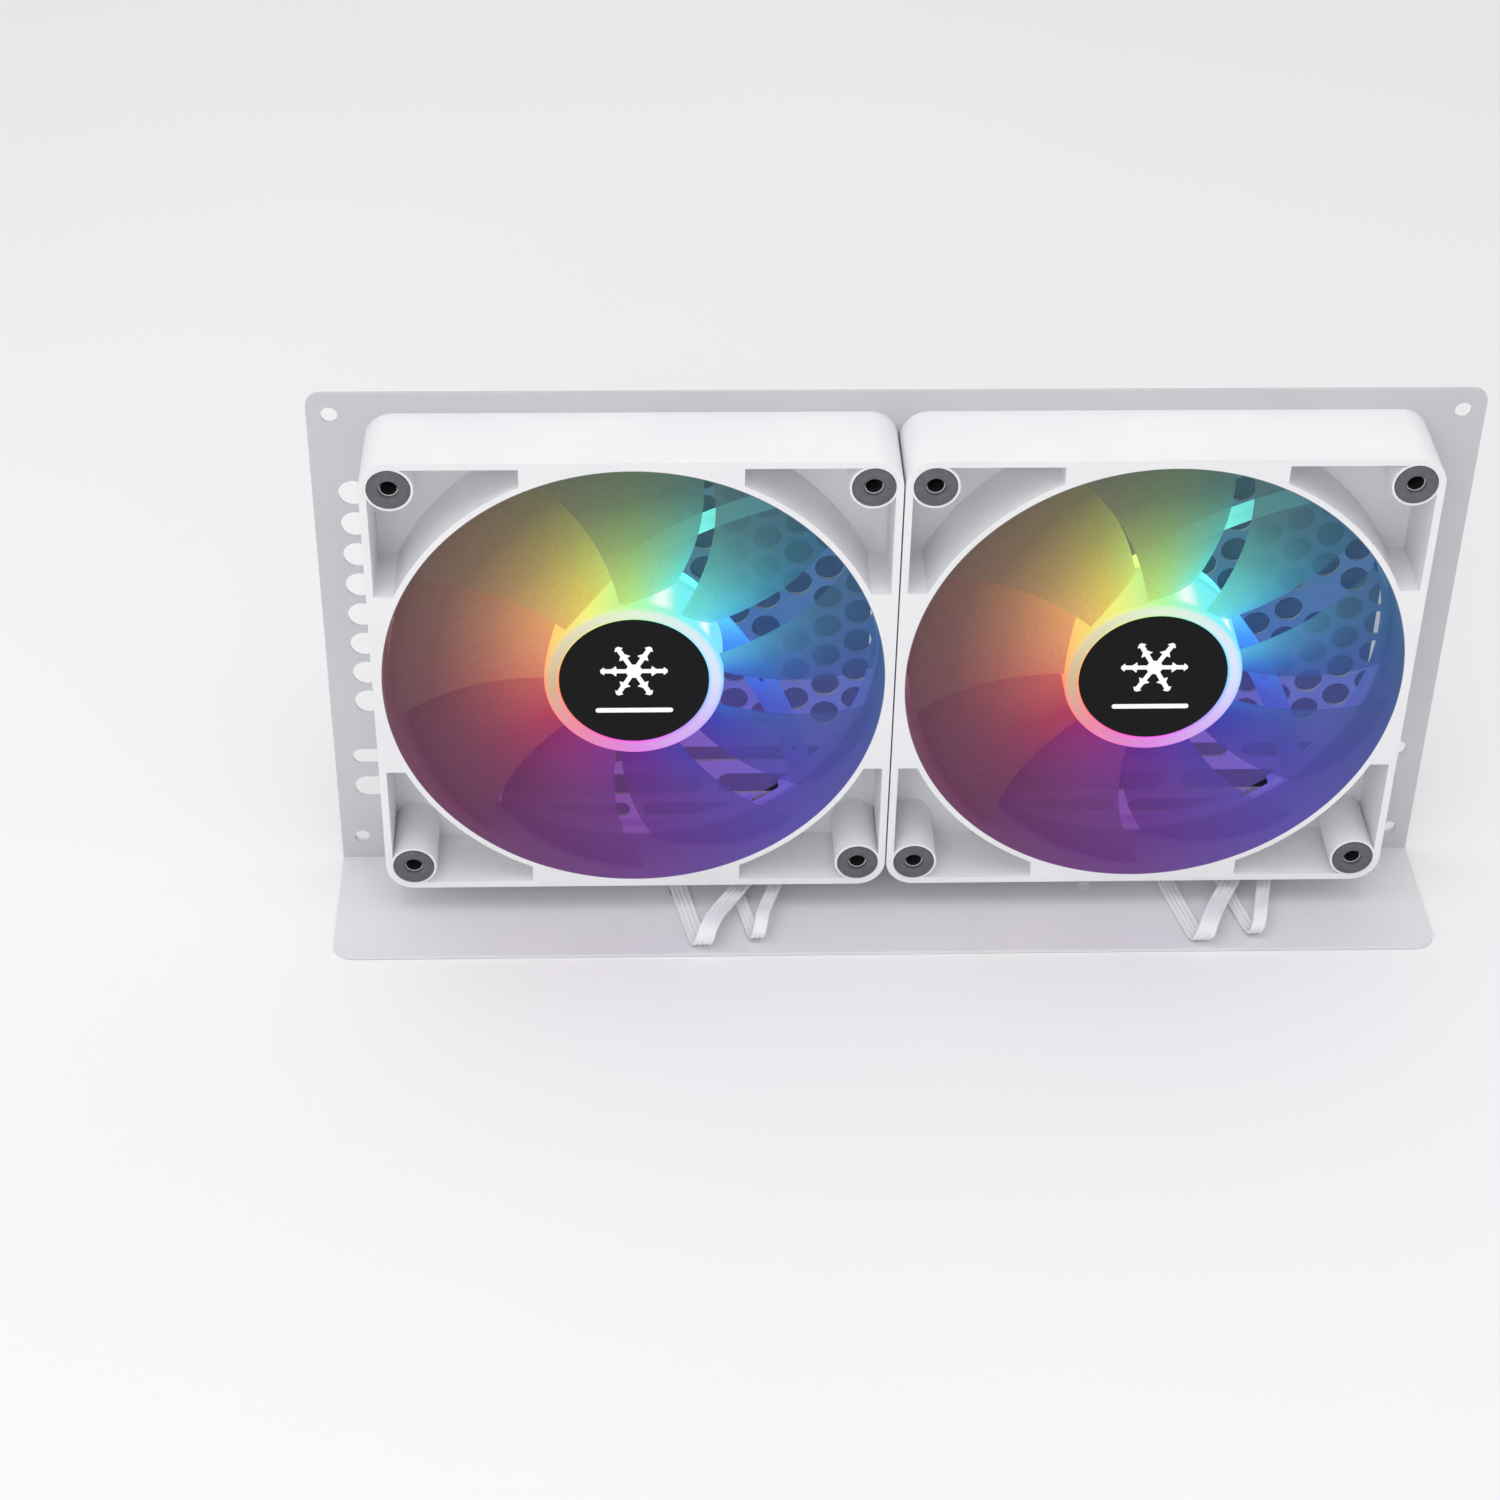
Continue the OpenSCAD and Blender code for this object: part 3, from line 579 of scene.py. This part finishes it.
def plain_resin(name, colour, dark, roughness, grain=500, depth=0.015, specular=0.5):
    """Moulded or painted plastic with a faint mottle."""
    finish = Finish(name, colour, roughness, specular=specular)
    mottle = finish.noise(grain, 4)
    finish.vary("Base Color", mottle, dark, colour)
    finish.vary("Roughness", mottle, roughness - 0.06, roughness + 0.08)
    finish.relief(mottle, depth, 0.4)
    return finish.material


def laminations():
    """Electrical steel in thin stacked sheets."""
    finish = Finish("laminations", (0.35, 0.36, 0.38), 0.38, metal=1.0)
    at = finish.split(finish.place)
    sheets = finish.calc("PINGPONG", at["Y"], 0.25 * MM)
    lines = finish.ramp(finish.calc("MULTIPLY", sheets, 4000), [(0.0, 0.0), (0.2, 1.0)])
    finish.link(finish.mix(lines, (0.08, 0.08, 0.09), (0.36, 0.37, 0.39)), "Base Color")
    finish.relief(lines, 0.05, 0.6)
    return finish.material


def enamelled_wire():
    """Copper wire laid round and round, in ridges about a quarter of a millimetre apart, with painted shade
    in the grooves.
    """
    finish = Finish("enamelled_wire", (0.62, 0.26, 0.1), 0.3, metal=1.0)
    at = finish.split(finish.place)
    ridges = finish.calc("PINGPONG", finish.calc("ADD", at["X"], at["Z"]), 0.14 * MM)
    ridges = finish.ramp(finish.calc("MULTIPLY", ridges, 7000), [(0.0, 0.0), (0.9, 1.0)], smooth_steps=True)
    # Painted shade: the colour darkens into the grooves between the turns
    finish.link(finish.mix(ridges, (0.3, 0.1, 0.04), (0.68, 0.3, 0.12)), "Base Color")
    finish.relief(ridges, 0.08, 0.8)
    return finish.material


def ribbon_jacket():
    """Soft white vinyl."""
    finish = Finish("ribbon_jacket", (0.84, 0.84, 0.85), 0.45)
    cloud = finish.noise(120, 4)
    finish.vary("Base Color", cloud, (0.8, 0.8, 0.82), (0.87, 0.87, 0.88))
    finish.vary("Roughness", finish.noise(500, 4), 0.36, 0.52)
    finish.relief(finish.noise(1500, 2), 0.02, 0.4)
    return finish.material


def pale_floor():
    finish = Finish("pale_floor", (0.9, 0.9, 0.91), 0.6, specular=0.2)
    finish.vary("Base Color", finish.noise(3, 3), (0.89, 0.89, 0.9), (0.91, 0.91, 0.92))
    return finish.material


# ---- Ribbon leads ----

# Route points from the fan's centre line, the panel's front face and the floor, in millimetres:
# x, y, z, turn of the ribbon's width about Z, and roll of the ribbon onto its edge
MOTOR_ROUTE = [
    (36.5, -1.7, 16, 0, 0), (36.5, -1.7, 11, 0, 0), (36, -4, 7, -8, 0), (33.5, -11, 5.4, -20, 0),
    (29.5, -20, 5.4, -24, 0), (25, -30, 7.4, -25, 0), (22, -37, 9, -22, 0), (20, -41.5, 8, -14, 0),
    (19, -43, 5.4, -6, 0), (18, -41, 2.4, 4, 0), (16.5, -36, 1.75, 10, 0), (12.5, -18, 1.75, 12, 0),
    (9.5, -4, 2.6, 8, 0), (8.5, 3, 3.2, 2, 0), (8, 9, 2.8, 0, 40), (8, 16, 2.7, 0, 90),
    (5.5, 23.5, 2.7, 0, 90), (-1, 27.5, 2.7, 0, 90), (-12, 28, 2.7, 0, 90), (-20, 28, 2.7, 0, 90),
]
LIGHT_ROUTE = [
    (42.6, -1.7, 16, 0, 0), (42.6, -1.7, 11, 0, 0), (42.4, -4, 7, -4, 0), (41, -12, 5.6, -11, 0),
    (38.8, -22, 5.8, -13, 0), (36.8, -30, 7.6, -12, 0), (35.4, -36, 8.6, -9, 0), (34.6, -39.5, 6.8, -4, 0),
    (34, -40, 4.2, 2, 0), (33, -37, 2, 8, 0), (30.5, -26, 1.75, 12, 0), (27, -9, 1.9, 11, 0),
    (25, 3, 3.1, 5, 0), (24, 9, 2.3, 0, 45), (24, 16, 2.1, 0, 90), (25.2, 22, 2.1, 0, 90),
    (29, 26.8, 2.1, 0, 90), (34, 28, 2.1, 0, 90),
]
# Points of the curve between two of the route's
ROUTE_STEPS = 5
# Kind of lead, its route, the side of the fan that it coils on, its wires, and its real length in metres
LEADS = (("motor", MOTOR_ROUTE, -1, 4, 0.54), ("light", LIGHT_ROUTE, 1, 3, 0.51))
# The ribbon: a wire's thickness, and where each wire's round side starts and ends, in degrees
WIRE = 1.3
WIRE_STEPS = 4
OUTER_WIRE = (180, 10)
INNER_WIRE = (145, 35)
# The coil's middle, its straight sides' length, its outer radius, and how far each turn lies inside the last
COIL_X = 34
COIL_Y = 43
COIL_STRAIGHT = 34
COIL_R = 15
COIL_PITCH = 2.1
COIL_BENDS = 5
BEND_STEPS = 16
# The plug's distance from the coil's middle, its length, and the height of its middle
PLUG_OFFSET = 19.3
PLUG_LENGTH = 12
PLUG_MIDDLE = 5.1
# How far the tail runs straight out of the coil and into the plug before it bends
TAIL_REACH = 12
TAIL_STEPS = 10


def between(points, t):
    """A point of the smooth curve through the middle two of four points."""
    a, b, c, d = (Vector(p) for p in points)
    return 0.5 * (2 * b + (c - a) * t + (2 * a - 5 * b + 4 * c - d) * t * t + (3 * b - a - 3 * c + d) * t**3)


def eased(points, parts):
    """The curve through a route's points, with so many parts between each two."""
    ends = [points[0], *points, points[-1]]
    curve = []
    for i in range(len(points) - 1):
        curve += [between(ends[i : i + 4], k / parts) for k in range(parts)]
    return curve


def lead_line(route, hand):
    """The ribbon's centreline, with its turn and roll: open run, oblong coil, and tail into the plug."""
    line = eased([Vector(p) for p in route], ROUTE_STEPS)
    height = route[-1][2]
    for bend in range(COIL_BENDS):
        end, first = (hand, -90) if bend % 2 == 0 else (-hand, 90)
        middle = Vector((hand * COIL_X + end * COIL_STRAIGHT / 2, COIL_Y, height))
        for k in range(BEND_STEPS + 1):
            angle = math.radians(first + hand * 180 * k / BEND_STEPS)
            radius = COIL_R - COIL_PITCH * (bend + k / BEND_STEPS) / 2
            spot = middle + radius * Vector((math.cos(angle), math.sin(angle), 0))
            line.append(Vector((*spot, 0, 90)))
    start = line[-1].to_3d()
    end = Vector((hand * (COIL_X - PLUG_OFFSET + PLUG_LENGTH / 2), COIL_Y, PLUG_MIDDLE))
    reach = Vector((hand * TAIL_REACH, 0, 0))
    first, second = start - reach, end + reach
    for k in range(1, TAIL_STEPS + 1):
        t = k / TAIL_STEPS
        ends = (1 - t) ** 3 * start + t**3 * end
        spot = ends + 3 * t * (1 - t) ** 2 * first + 3 * t * t * (1 - t) * second
        line.append(Vector((*spot, 0, 90)))
    return line


def ribbon_outline(wires):
    """Round the ribbon's section, wires side by side: pairs of distances along its width and through it."""
    outline = []
    radius = WIRE / 2
    for face in (1, -1):
        for i in range(wires):
            across = (i - (wires - 1) / 2) * WIRE * face
            first = OUTER_WIRE[0] if i == 0 else INNER_WIRE[0]
            last = OUTER_WIRE[1] if i == wires - 1 else INNER_WIRE[1]
            for k in range(WIRE_STEPS + 1):
                angle = math.radians(first + (last - first) * k / WIRE_STEPS)
                outline.append((across + radius * math.cos(angle) * face, radius * math.sin(angle) * face))
    return outline


def make_lead(name, side, route, hand, wires):
    """One ribbon lead as a tube along its line. Returns it with the line in metres."""
    line = lead_line(route, hand)
    places = [Vector((AXIS[side].x + p[0] * MM, WALL_Y + p[1] * MM, p[2] * MM)) for p in line]
    outline = ribbon_outline(wires)
    count = len(outline)
    mesh = bmesh.new()
    rings = []
    for i, place in enumerate(places):
        ahead = (places[min(i + 1, len(places) - 1)] - places[max(i - 1, 0)]).normalized()
        turn, roll = math.radians(line[i][3]), math.radians(line[i][4])
        across = Vector((math.cos(roll) * math.cos(turn), math.cos(roll) * math.sin(turn), math.sin(roll)))
        across = (across - across.dot(ahead) * ahead).normalized()
        through = ahead.cross(across)
        rings.append([mesh.verts.new(place + (u * across + v * through) * MM) for u, v in outline])
    for one, two in zip(rings, rings[1:]):
        for k in range(count):
            mesh.faces.new((one[k], one[(k + 1) % count], two[(k + 1) % count], two[k]))
    mesh.faces.new(rings[0])
    mesh.faces.new(rings[-1])
    bmesh.ops.recalc_face_normals(mesh, faces=mesh.faces)
    data = bpy.data.meshes.new(name)
    mesh.to_mesh(data)
    mesh.free()
    lead = new_piece(name, data)
    smooth(lead, 60)
    return lead, places


def make_plug(side, kind):
    plug = cad_copy(f"{side}_{kind}_plug", f"{side}_{kind}_connector")
    round_edges(plug, 0.25, 2, 40)
    smooth(plug)
    return plug


def lay_leads(jacket, shell):
    for side in SIDES:
        for kind, route, hand, wires, length in LEADS:
            lead, places = make_lead(f"{side}_{kind}_ribbon", side, route, hand, wires)
            fit(lead, "housing", "lead_jacket", jacket, f"{side}_{kind}_lead", f"{side}_{kind}_coil")
            plug = make_plug(side, kind)
            fit(plug, "housing", "plug_plastic", shell, f"{side}_{kind}_plug")


# ---- Fan frames ----


def make_frames():
    left = cad_copy("left_frame", "left_frame_shell")
    round_edges(left, 0.5, 2, 40)
    smooth(left)
    apply_modifier(left, "WEIGHTED_NORMAL", keep_sharp=True)
    right = copy_to_right(left, "right_frame_shell")
    for side, piece in (("left", left), ("right", right)):
        fit(piece, "housing", "frame_plastic", white_moulding_painted_glow(side), side + "_frame")


# ---- Impellers ----

BLADES = 9
# Where a blade starts inside the hub's wall, and ends
ROOT_R = 23.2
TIP_R = 65.9
# Degrees that a blade takes up round the axis, and that its tip trails its root
BLADE_SPAN = 37
BLADE_SWEEP = 13
# The blade's middle forward from the frame's back, its edges' rise from there, and the tip's loss of rise
BLADE_MID = 14.6
BLADE_RISE = 7
TIP_LOSS = 0.8
# The blade's bow forward, as a share of its rise
BLADE_BOW = 0.3
# Half the blade's thickness at its edge, and what is added to that in its middle
EDGE_HALF = 0.35
BELLY_HALF = 0.75


def blade_place(side, out, along, face):
    """A point of a blade: out from root to tip, along from -1 to 1, on its front or back face."""
    angle = math.radians(BLADE_SWEEP * out**1.5 + BLADE_SPAN / 2 * along)
    radius = ROOT_R + (TIP_R - ROOT_R) * out
    rise = BLADE_RISE - TIP_LOSS * out
    half = EDGE_HALF + BELLY_HALF * (1 - along * along)
    forward = BLADE_MID + rise * (along + BLADE_BOW * (1 - along * along)) + face * half
    return fan_point(side, radius * math.cos(angle), radius * math.sin(angle), forward)


def make_blade(side):
    """One blade: a sheet laid out square, drawn to the blade's sweep and rise, and closed at its rim."""
    put_down()
    bpy.ops.mesh.primitive_grid_add(x_subdivisions=14, y_subdivisions=18, size=2, location=(0, 0, 0))
    piece = bpy.context.object
    edit(piece)
    bpy.ops.mesh.select_all(action="SELECT")
    bpy.ops.mesh.extrude_region_move(TRANSFORM_OT_translate={"value": (0, 0, 1)})
    mesh = bmesh.from_edit_mesh(piece.data)
    for vertex in mesh.verts:
        out, along = (vertex.co.x + 1) / 2, vertex.co.y
        vertex.co = blade_place(side, out, along, 1 if vertex.co.z > 0.5 else -1)
    bmesh.update_edit_mesh(piece.data)
    face_outwards()
    return piece


def make_blades(side):
    """All the blades round the hub, in one piece."""
    blades = [make_blade(side)]
    axis = Matrix.Translation(AXIS[side])
    for i in range(1, BLADES):
        blade = new_piece("blade", blades[0].data.copy())
        turn = Matrix.Rotation(-math.tau * i / BLADES, 4, "Y")
        blade.data.transform(axis @ turn @ axis.inverted())
        blades.append(blade)
    whole = join(blades, side + "_blades")
    smooth(whole, 50)
    return whole


# Sections of the round pieces: radius, and distance forward from the frame's back
HUB_PROFILE = [
    (22.3, 7.4), (24.2, 7.4), (24.2, 22.4), (24.1, 22.85), (23.8, 23.25), (23.4, 23.5), (23.0, 23.6),
    (20.7, 23.6), (20.4, 23.5), (20.3, 23.3), (20.3, 22.2), (2.0, 22.2), (2.0, 21.0), (22.3, 21.0),
]
BADGE_PROFILE = [(19.6, 22.22), (20.2, 22.22), (20.2, 22.95), (20.12, 23.1), (19.95, 23.18), (19.7, 23.2)]
PAD_PROFILE = [
    (2.5, 23.8), (5.55, 23.8), (5.55, 25.05), (5.5, 25.2), (5.35, 25.3), (5.15, 25.3),
    (5.0, 25.22), (4.85, 25.3), (3.1, 25.3), (2.75, 25.2), (2.5, 24.9),
]


def make_impellers():
    for side in SIDES:
        blades = make_blades(side)
        fit(blades, side + "_rotor", "blade_plastic", painted_glow_blades(side), side + "_impeller")
        hub = turned(side + "_hub", side, HUB_PROFILE, closed=True)
        smooth(hub, 50)
        fit(hub, side + "_rotor", "blade_plastic", painted_glow_hub(side), side + "_impeller")


# ---- Badges ----

# The print on the badge: the badge's face forward from the frame's back, and the print's thickness
BADGE_FACE = 23.2
PRINT = 0.05
FLAKE_UP = 3.4
FLAKE_CORE_R = 2.2
FLAKE_ARMS = 6
# One arm outwards from the core: how far each step goes, and how many times as wide the arm is after it
FLAKE_ARM = ((0.15, 0.6), (2.6, 1.0), (0.15, 2.6), (1.2, 0.4), (1.9, 1.0), (0.15, 1.9), (1.0, 0.3))
BAR_UP = -9.6
BAR_LENGTH = 21
BAR_HEIGHT = 1.5
BAR_CORNER_R = 0.7


def make_snowflake(side):
    put_down()
    centre = fan_point(side, 0, FLAKE_UP, BADGE_FACE)
    bpy.ops.mesh.primitive_circle_add(
        vertices=FLAKE_ARMS, radius=FLAKE_CORE_R * MM, location=centre, rotation=UPRIGHT, fill_type="NGON"
    )
    flake = bpy.context.object
    settle(flake, side + "_snowflake")
    edit(flake)
    for i in range(FLAKE_ARMS):
        angle = math.tau * i / FLAKE_ARMS
        out = Vector((math.cos(angle), 0, math.sin(angle)))
        at = centre + out * FLAKE_CORE_R * MM * math.cos(math.pi / FLAKE_ARMS)
        select_edges(lambda a, b: ((a + b) / 2 - at).length < 0.05 * MM)
        for step, width in FLAKE_ARM:
            bpy.ops.mesh.extrude_region_move(TRANSFORM_OT_translate={"value": out * step * MM})
            at += out * step * MM
            bpy.ops.transform.resize(value=(width, 1, width), center_override=at)
    bpy.ops.mesh.select_mode(type="FACE")
    bpy.ops.mesh.select_all(action="SELECT")
    bpy.ops.mesh.extrude_region_move(TRANSFORM_OT_translate={"value": (0, -PRINT * MM, 0)})
    face_outwards()
    return flake


def make_bar(side):
    put_down()
    bpy.ops.mesh.primitive_cube_add(size=1, location=fan_point(side, 0, BAR_UP, BADGE_FACE + PRINT / 2))
    bar = bpy.context.object
    bar.scale = (BAR_LENGTH * MM, PRINT * MM, BAR_HEIGHT * MM)
    settle(bar, side + "_bar")
    edit(bar)
    select_edges(lambda a, b: abs((a - b).y) > PRINT / 2 * MM)
    bpy.ops.mesh.bevel(offset=BAR_CORNER_R * MM, segments=4)
    bpy.ops.object.mode_set(mode="OBJECT")
    return bar


def make_emblem(side):
    """A plain six-armed snowflake over a thin bar, printed on the badge."""
    return join([make_snowflake(side), make_bar(side)], side + "_emblem")


def make_badges(gloss, print_painted_glow):
    for side in SIDES:
        badge = turned(side + "_badge", side, BADGE_PROFILE)
        smooth(badge, 40)
        fit(badge, side + "_rotor", "badge_plastic", gloss, side + "_hub_badge")
        fit(make_emblem(side), side + "_rotor", "emblem_print", print_painted_glow)


# ---- Pads ----


def make_pads(rubber):
    for side in SIDES:
        pads = []
        for x in (-HOLE_AT, HOLE_AT):
            for up in (-HOLE_AT, HOLE_AT):
                pads.append(turned("pad", side, PAD_PROFILE, closed=True, corners=48, off=(x, up)))
        whole = join(pads, side + "_pads")
        smooth(whole, 50)
        fit(whole, "housing", "pad_rubber", rubber, side + "_front_pads")


# ---- Nodes that stay in sight ----


def finish_nodes(finishes):
    """Gives each CAD node that stays in sight its own finish, by its name or its slot."""
    for part in frame["record"]["subparts"]:
        finish = finishes.get(part["node"], finishes.get(part["material_slot"]))
        if finish:
            for socket in frame["nodes"][part["node"]].material_slots:
                socket.material = finish


# ---- Stage ----


def add_area(name, place, aim, size, power):
    put_down()
    bpy.ops.object.light_add(type="AREA", location=place)
    lamp = bpy.context.object
    lamp.name = name
    lamp.data.shape = "RECTANGLE"
    lamp.data.size, lamp.data.size_y = size
    lamp.data.energy = power
    lamp.rotation_euler = (Vector(aim) - Vector(place)).to_track_quat("-Z", "Y").to_euler()


def set_stage():
    put_down()
    bpy.ops.mesh.primitive_plane_add(size=8, location=(0, 0, -0.0002))
    floor = bpy.context.object
    settle(floor, "studio_floor")
    floor.data.materials.append(pale_floor())
    world = bpy.data.worlds.new("studio_air")
    bpy.context.scene.world = world
    world.use_nodes = True
    world.node_tree.nodes["Background"].inputs["Color"].default_value = (1, 1, 1, 1)
    world.node_tree.nodes["Background"].inputs["Strength"].default_value = 0.7
    add_area("top_softbox", (-0.1, -0.2, 1.3), (0, 0, 0.08), (1.2, 1.0), 5.5)
    add_area("front_softbox", (-0.5, -1.3, 0.9), (0, 0, 0.08), (1.0, 0.8), 4.5)
    bpy.context.scene.view_settings.view_transform = "Standard"


# ---- Assembly ----

put_down()
set_camera()
lay_leads(ribbon_jacket(), plain_resin("plug_moulding", (0.86, 0.86, 0.86), (0.82, 0.82, 0.82), 0.35))
make_frames()
make_impellers()
make_badges(badge_gloss(), pad_print_painted_glow())
rubber = damper_rubber()
make_pads(rubber)
finish_nodes(
    {
        # One white powder coat, painted grey as painted shade: darker on the grille panel behind the fans,
        # lighter on the rail
        "grille_panel": panel_coat_painted_glow_and_shade("panel_coat_painted_glow_and_shade", (0.6, 0.595, 0.63), (0.56, 0.555, 0.59)),
        "painted_panel": panel_coat_painted_glow_and_shade("rail_coat_painted_shade", (0.76, 0.755, 0.78), (0.72, 0.715, 0.74)),
        "left_filter": filter_mesh("left"),
        "right_filter": filter_mesh("right"),
        "pad_rubber": rubber,
        "black_steel": plain_resin("black_zinc", (0.025, 0.025, 0.028), (0.015, 0.015, 0.016), 0.4),
        "label": plain_resin("silver_film", (0.55, 0.56, 0.58), (0.5, 0.51, 0.53), 0.3),
        "bearing_brass": plain_metal("bearing_brass", (0.72, 0.5, 0.2), (0.5, 0.33, 0.12), 0.35),
        "natural_nylon": plain_resin("natural_nylon", (0.82, 0.79, 0.7), (0.77, 0.73, 0.63), 0.42),
        "circuit_board": plain_resin("solder_mask", (0.02, 0.2, 0.08), (0.015, 0.14, 0.06), 0.3),
        "light_board": plain_resin("white_solder_mask", (0.85, 0.85, 0.85), (0.78, 0.78, 0.78), 0.3),
        "led_lens": plain_resin("lamp_resin", (0.95, 0.93, 0.8), (0.9, 0.85, 0.6), 0.15),
        "lamination_steel": laminations(),
        "copper_wire": enamelled_wire(),
        "bare_steel": plain_metal("drawn_steel", (0.6, 0.61, 0.63), (0.48, 0.49, 0.51), 0.28),
        "ferrite": plain_resin("ferrite", (0.07, 0.07, 0.075), (0.05, 0.05, 0.055), 0.55),
    }
)
set_stage()
